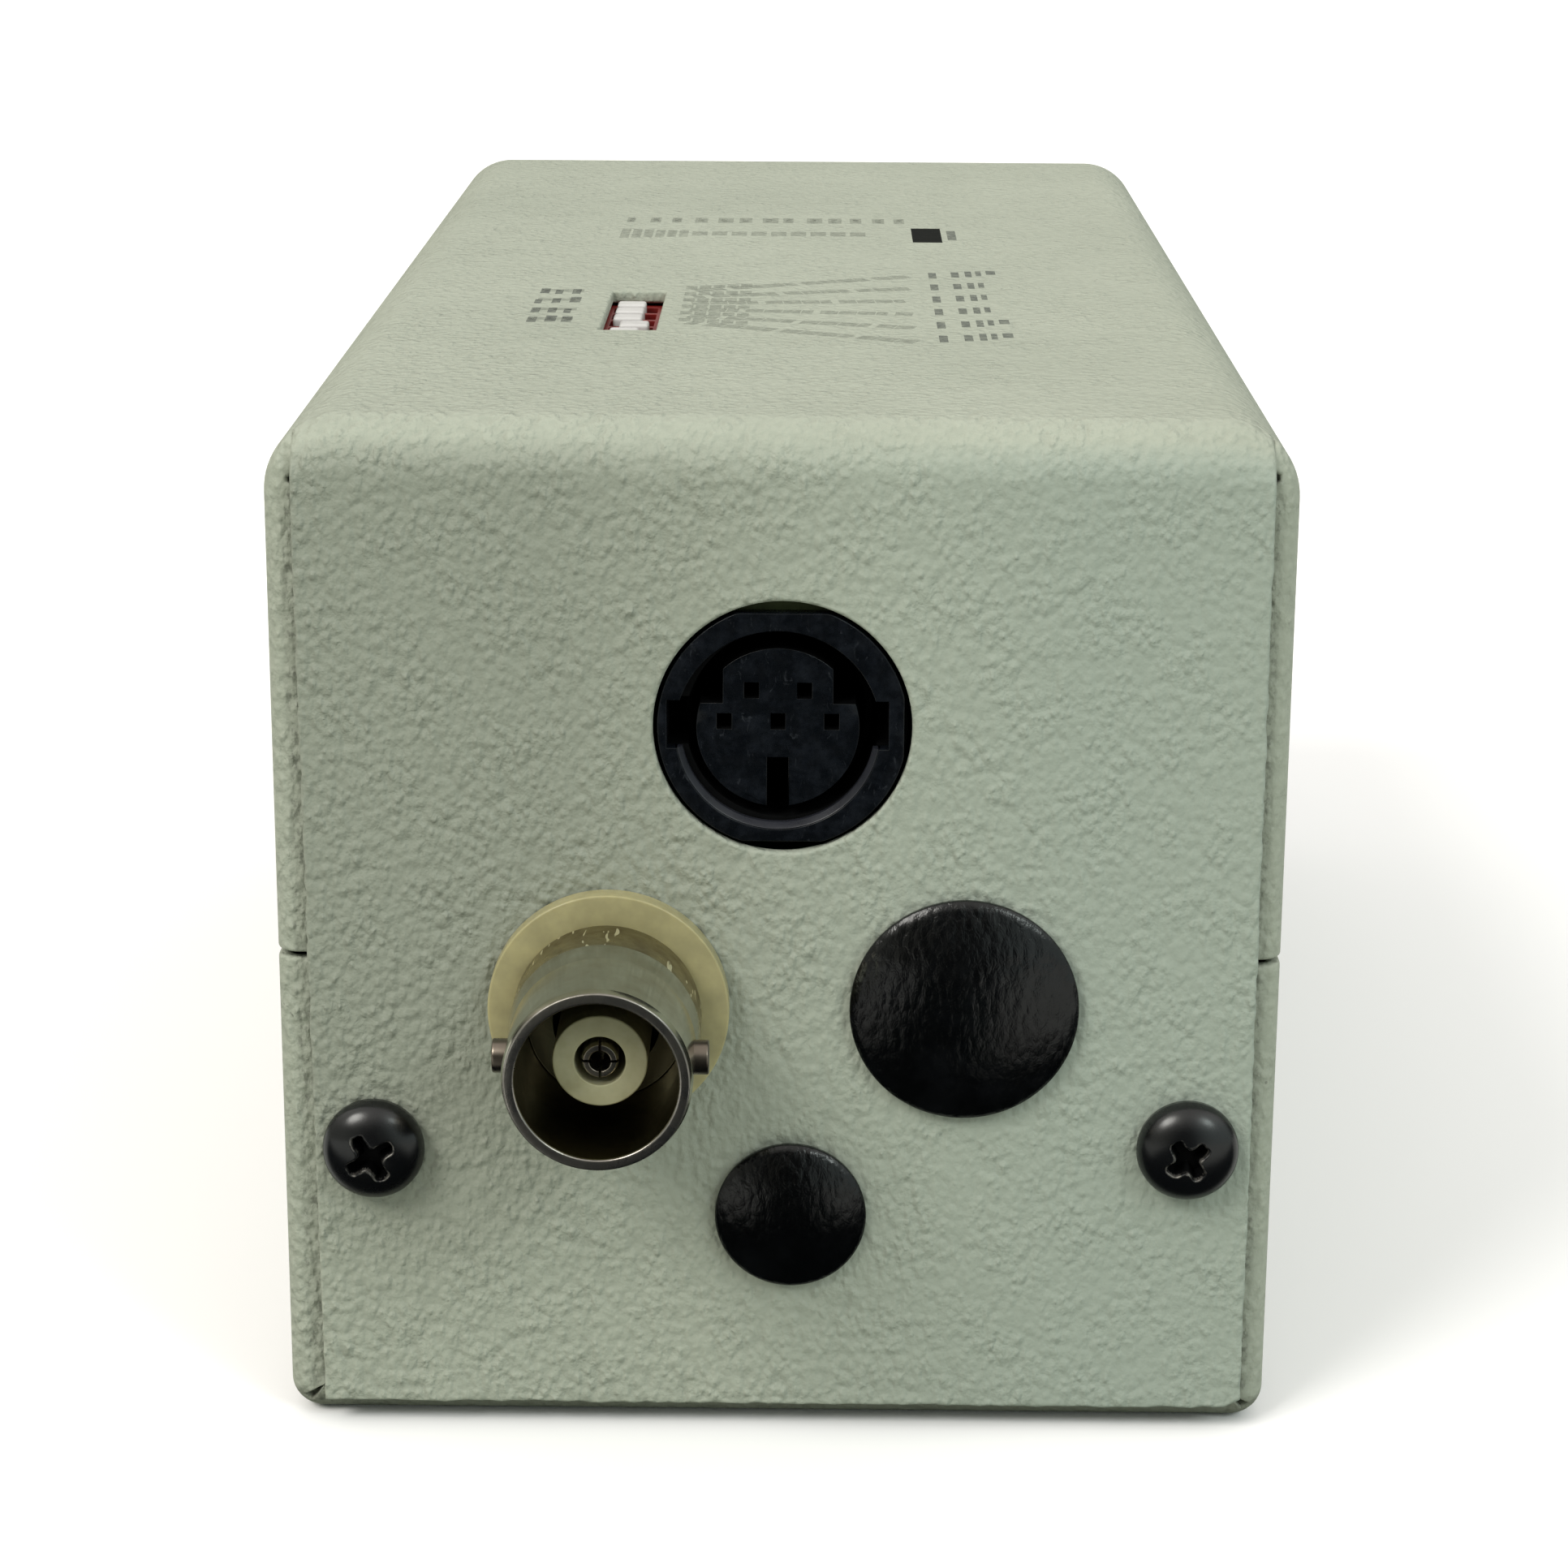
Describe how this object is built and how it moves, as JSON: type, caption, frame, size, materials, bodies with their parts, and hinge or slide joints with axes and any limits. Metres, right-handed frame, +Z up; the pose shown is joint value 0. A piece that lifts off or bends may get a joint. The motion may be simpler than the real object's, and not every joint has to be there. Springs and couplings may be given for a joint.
{
  "type": "cooled astronomy camera",
  "caption": "Compact cooled CCD camera for a telescope: folded textured sheet-metal box with a C-mount nose, video and control sockets, blanking plugs and a slide switch in its top.",
  "frame": {"origin": "middle of the bounding box's base: on the underside, midway along and across", "axes": "+X to the right when the sockets face the viewer, +Y from the sockets towards the lens end, +Z up"},
  "size_m": [0.0552, 0.129, 0.0554],
  "materials": {
    "textured_grey_paint": "fine wrinkle texture",
    "black_anodised_aluminium": "black anodised",
    "bare_aluminium": "machined",
    "black_screw_steel": "black, glossy",
    "zinc_plated_steel": "zinc plated",
    "nickel_plated_brass": "nickel plated",
    "gold_plated_contact": "gold plated",
    "cream_insulator": "satin",
    "black_moulded_plastic": "satin",
    "grained_black_plastic": "leather grain",
    "red_switch_plastic": "semi-gloss",
    "white_slider_plastic": "satin",
    "green_circuit_board": "solder mask",
    "white_ceramic": "matt",
    "dark_sensor_package": "gloss",
    "coated_window_glass": "coated",
    "black_seal_rubber": "matt",
    "copper_block": "machined",
    "grey_ribbon": "matt"
  },
  "bodies": {
    "root": {"top_cover": "textured_grey_paint", "bottom_tray": "textured_grey_paint", "front_plate": "black_anodised_aluminium", "sensor_chamber": "black_anodised_aluminium", "window_retainer": "black_anodised_aluminium", "filter_capacitor": "black_anodised_aluminium", "heat_spreader": "bare_aluminium", "rear_screw_left": "black_screw_steel", "rear_screw_right": "black_screw_steel", "side_screw_left_upper": "black_screw_steel", "side_screw_left_lower": "black_screw_steel", "side_screw_right_upper": "black_screw_steel", "side_screw_right_lower": "black_screw_steel", "spreader_screw_left": "black_screw_steel", "spreader_screw_right": "black_screw_steel", "tripod_bush": "zinc_plated_steel", "clinch_nut_left": "zinc_plated_steel", "clinch_nut_right": "zinc_plated_steel", "ring_retainer": "zinc_plated_steel", "pillar_1": "zinc_plated_steel", "pillar_2": "zinc_plated_steel", "pillar_3": "zinc_plated_steel", "pillar_4": "zinc_plated_steel", "pillar_screw_1": "zinc_plated_steel", "pillar_screw_2": "zinc_plated_steel", "pillar_screw_3": "zinc_plated_steel", "pillar_screw_4": "zinc_plated_steel", "bnc_body": "nickel_plated_brass", "bnc_nut": "nickel_plated_brass", "bnc_solder_tag": "nickel_plated_brass", "din_shield": "nickel_plated_brass", "bnc_centre_contact": "gold_plated_contact", "bnc_insulating_flange": "cream_insulator", "bnc_dielectric": "cream_insulator", "din_housing": "black_moulded_plastic", "din_core": "black_moulded_plastic", "timing_chip": "black_moulded_plastic", "large_hole_plug": "grained_black_plastic", "small_hole_plug": "grained_black_plastic", "dip_switch_body": "red_switch_plastic", "switch_board": "green_circuit_board", "rear_board": "green_circuit_board", "video_board": "green_circuit_board", "sensor_board": "green_circuit_board", "peltier_module": "white_ceramic", "ccd_sensor": "dark_sensor_package", "sensor_window": "coated_window_glass", "window_seal": "black_seal_rubber", "cold_finger": "copper_block", "ribbon_cable": "grey_ribbon"},
    "focus_ring": {"focus_ring": "black_anodised_aluminium"},
    "mount_barrel": {"mount_barrel": "black_anodised_aluminium"},
    "lock_screw": {"lock_screw": "black_screw_steel"},
    "dip_slider_1": {"dip_slider_1": "white_slider_plastic"},
    "dip_slider_2": {"dip_slider_2": "white_slider_plastic"},
    "dip_slider_3": {"dip_slider_3": "white_slider_plastic"},
    "dip_slider_4": {"dip_slider_4": "white_slider_plastic"},
    "dip_slider_5": {"dip_slider_5": "white_slider_plastic"},
    "dip_slider_6": {"dip_slider_6": "white_slider_plastic"}
  },
  "joints": [
    {"name": "focus_turn", "type": "hinge", "parent": "root", "child": "focus_ring", "pos_m": [0, 0.061, 0.0277], "axis": [0, 1, 0], "range_deg": [-170, 170]},
    {"name": "focus_slide", "type": "slide", "parent": "root", "child": "mount_barrel", "axis": [0, 1, 0], "range_m": [-0.0005, 0.0005]},
    {"name": "lock_turn", "type": "hinge", "parent": "root", "child": "lock_screw", "pos_m": [0.0188, 0.061, 0.0473], "axis": [0, 1, 0], "range_deg": [0, 180]},
    {"name": "switch_1", "type": "slide", "parent": "root", "child": "dip_slider_1", "axis": [1, 0, 0], "range_m": [-0.0005, 0]},
    {"name": "switch_2", "type": "slide", "parent": "root", "child": "dip_slider_2", "axis": [1, 0, 0], "range_m": [0, 0.0005]},
    {"name": "switch_3", "type": "slide", "parent": "root", "child": "dip_slider_3", "axis": [1, 0, 0], "range_m": [-0.0005, 0]},
    {"name": "switch_4", "type": "slide", "parent": "root", "child": "dip_slider_4", "axis": [1, 0, 0], "range_m": [0, 0.0005]},
    {"name": "switch_5", "type": "slide", "parent": "root", "child": "dip_slider_5", "axis": [1, 0, 0], "range_m": [0, 0.0005]},
    {"name": "switch_6", "type": "slide", "parent": "root", "child": "dip_slider_6", "axis": [1, 0, 0], "range_m": [0, 0.0005]}
  ],
  "couplings": [
    {"joint": "focus_slide", "follows": "focus_turn", "m_per_rad": -0.00015915}
  ]
}
